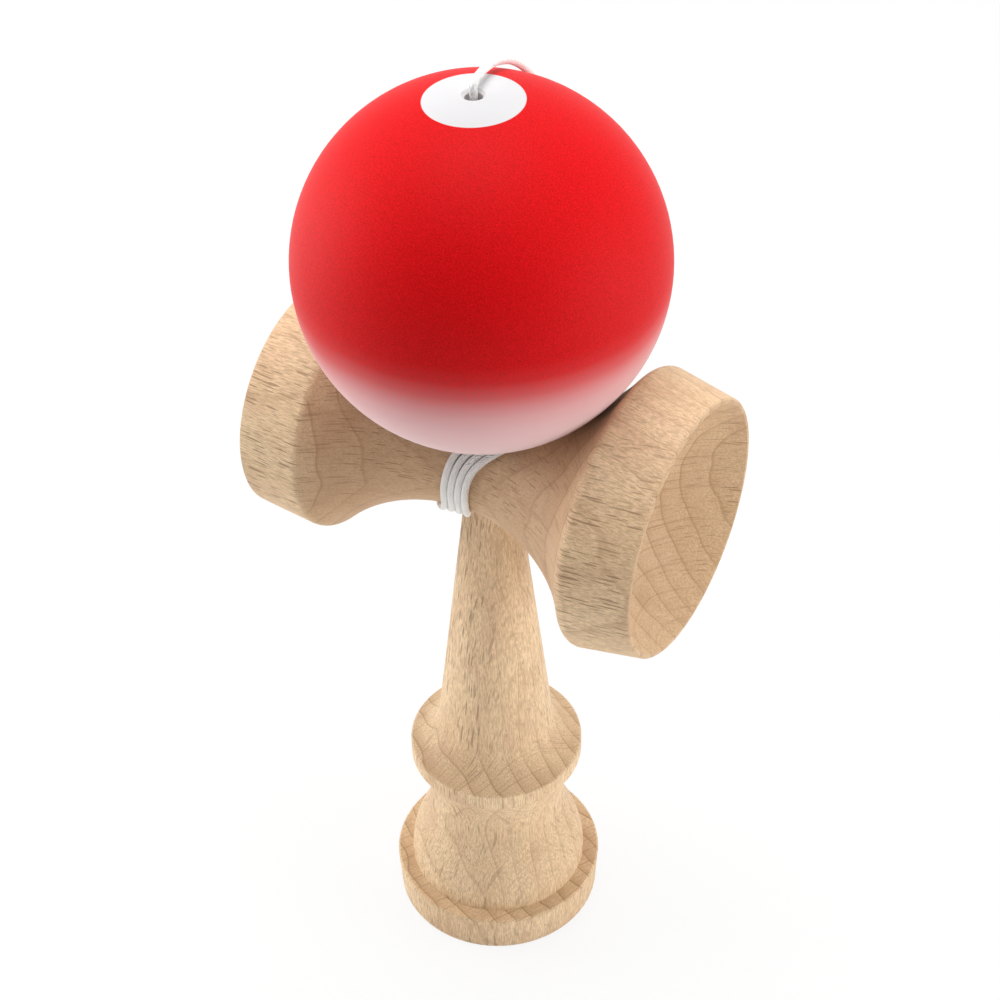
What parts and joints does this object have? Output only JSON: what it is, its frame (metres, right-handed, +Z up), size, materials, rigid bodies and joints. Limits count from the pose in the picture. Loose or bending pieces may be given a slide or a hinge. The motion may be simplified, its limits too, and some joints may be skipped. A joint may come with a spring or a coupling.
{
  "type": "kendama",
  "caption": "Wooden ball-and-cup skill toy: a painted, drilled ball sits on the spike of a turned handle with a cupped crosspiece and a hollow foot, tied by a wound string.",
  "frame": {"origin": "centre of the foot's rim, on the table", "axes": "+Z up along the ken, +X along the crosspiece towards the big cup, +Y towards the side where the string leaves the crosspiece"},
  "size_m": [0.0744, 0.0614, 0.1798],
  "materials": {
    "ken_wood": "smooth turned beech, bare, fine pores along the ken",
    "sarado_wood": "smooth turned beech, bare, fine pores along the crosspiece, end grain in the cups",
    "ball_paint": "painted wood, satin red that fades to pale pink round the hole, white disc on top",
    "string": "white braided nylon",
    "bead_wood": "small turned bead, bare"
  },
  "bodies": {
    "ken": {"ken": "ken_wood", "sarado": "sarado_wood", "string_ken_knot": "string", "string_inner": "string", "string_winding": "string", "string_run": "string"},
    "string_end": {"string_tama_lead": "string", "string_tama_knot": "string", "string_bead": "bead_wood"},
    "tama": {"tama": "ball_paint"}
  },
  "joints": [
    {"name": "tama_lift", "type": "slide", "parent": "ken", "child": "string_end", "axis": [0, 0, 1], "range_m": [0, 0.05], "deforming": ["string_run"]},
    {"name": "tama_spin", "type": "hinge", "parent": "string_end", "child": "tama", "pos_m": [-0.001, 0, 0.14745], "axis": [-0.0262, 0, 0.9997], "continuous": true}
  ]
}
